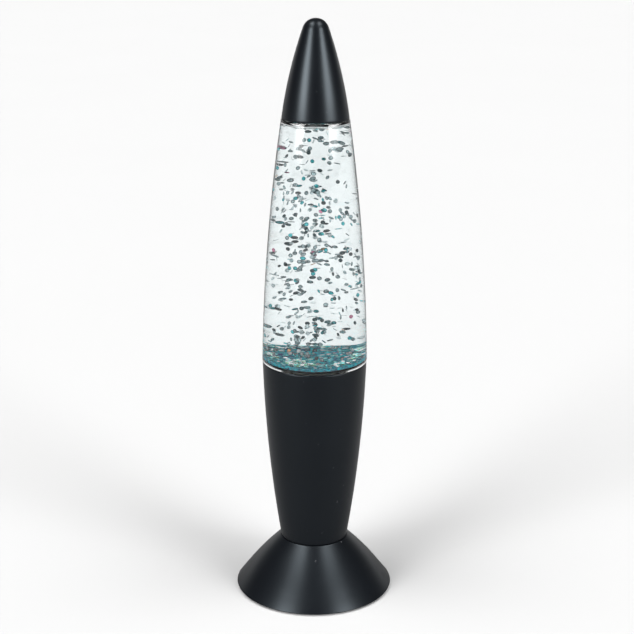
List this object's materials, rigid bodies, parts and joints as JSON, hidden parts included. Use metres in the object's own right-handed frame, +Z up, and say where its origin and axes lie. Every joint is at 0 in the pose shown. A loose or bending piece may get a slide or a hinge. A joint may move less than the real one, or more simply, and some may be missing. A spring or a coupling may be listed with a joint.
{
  "type": "glitter lamp",
  "caption": "Battery-powered glitter lamp: flared black foot and tapered cup, clear liquid-filled bottle with a magnetic stirrer, and a pointed black cap.",
  "frame": {"origin": "on the lamp's axis, at the surface that the rubber feet stand on", "axes": "+Z up along the lamp's axis; +X towards the slide switch; +Y towards the battery door's screw"},
  "size_m": [0.0906, 0.0906, 0.33],
  "materials": {
    "top_cap": "satin",
    "bottle": "gloss",
    "neck_plug": "satin",
    "plug_gasket": "matte",
    "lamp_liquid": "gloss",
    "glitter_bed": "gloss",
    "glitter_flakes": "gloss",
    "well_grille": "satin",
    "stirrer_pin": "polished",
    "stirrer": "satin",
    "stirrer_magnets": "satin",
    "cup": "satin",
    "light_deck": "satin",
    "deck_screws": "satin",
    "led_board": "satin",
    "leds": "gloss",
    "board_screws": "satin",
    "motor_can": "satin",
    "motor_end_cap": "satin",
    "motor_bracket": "satin",
    "bracket_screws": "satin",
    "motor_shaft": "polished",
    "drive_disc": "satin",
    "drive_magnets": "satin",
    "foot": "satin",
    "waist_screws": "satin",
    "base_plate": "satin",
    "base_screws": "satin",
    "rubber_feet": "matte",
    "battery_door": "satin",
    "door_screw": "satin",
    "battery_cells": "gloss",
    "contact_plates": "satin",
    "contact_springs": "satin",
    "switch_body": "satin",
    "switch_screws": "satin",
    "switch_slider": "satin",
    "battery_lead": "satin",
    "switch_lead": "satin",
    "return_lead": "satin",
    "motor_leads": "satin"
  },
  "bodies": {
    "base": {"cup": "cup", "light_deck": "light_deck", "deck_screws": "deck_screws", "led_board": "led_board", "leds": "leds", "board_screws": "board_screws", "motor_can": "motor_can", "motor_end_cap": "motor_end_cap", "motor_bracket": "motor_bracket", "bracket_screws": "bracket_screws", "foot": "foot", "waist_screws": "waist_screws", "base_plate": "base_plate", "base_screws": "base_screws", "rubber_feet": "rubber_feet", "battery_cells": "battery_cells", "contact_plates": "contact_plates", "contact_springs": "contact_springs", "switch_body": "switch_body", "switch_screws": "switch_screws", "battery_lead": "battery_lead", "switch_lead": "switch_lead", "return_lead": "return_lead", "motor_leads": "motor_leads"},
    "rotor": {"motor_shaft": "motor_shaft", "drive_disc": "drive_disc", "drive_magnets": "drive_magnets"},
    "bottle": {"bottle": "bottle", "neck_plug": "neck_plug", "plug_gasket": "plug_gasket", "lamp_liquid": "lamp_liquid", "glitter_bed": "glitter_bed", "glitter_flakes": "glitter_flakes", "well_grille": "well_grille", "stirrer_pin": "stirrer_pin"},
    "stirrer": {"stirrer": "stirrer", "stirrer_magnets": "stirrer_magnets"},
    "cap": {"top_cap": "top_cap"},
    "door": {"battery_door": "battery_door", "door_screw": "door_screw"},
    "switch": {"switch_slider": "switch_slider"}
  },
  "joints": [
    {"name": "bottle_lift", "type": "slide", "parent": "base", "child": "bottle", "axis": [0, 0, 1], "range_m": [0, 0.06]},
    {"name": "cap_lift", "type": "slide", "parent": "bottle", "child": "cap", "axis": [0, 0, 1], "range_m": [0, 0.05]},
    {"name": "rotor_spin", "type": "hinge", "parent": "base", "child": "rotor", "pos_m": [0, 0, 0.12], "axis": [0, 0, 1], "continuous": true},
    {"name": "stirrer_spin", "type": "hinge", "parent": "bottle", "child": "stirrer", "pos_m": [0, 0, 0.135], "axis": [0, 0, 1], "continuous": true},
    {"name": "door_swing", "type": "hinge", "parent": "base", "child": "door", "pos_m": [0, -0.02575, 0.0009], "axis": [-1, 0, 0], "range_deg": [0, 75]},
    {"name": "switch_slide", "type": "slide", "parent": "base", "child": "switch", "axis": [0, 1, 0], "range_m": [0, 0.0025]}
  ],
  "couplings": [
    {"joint": "stirrer_spin", "follows": "rotor_spin", "ratio": 1}
  ]
}
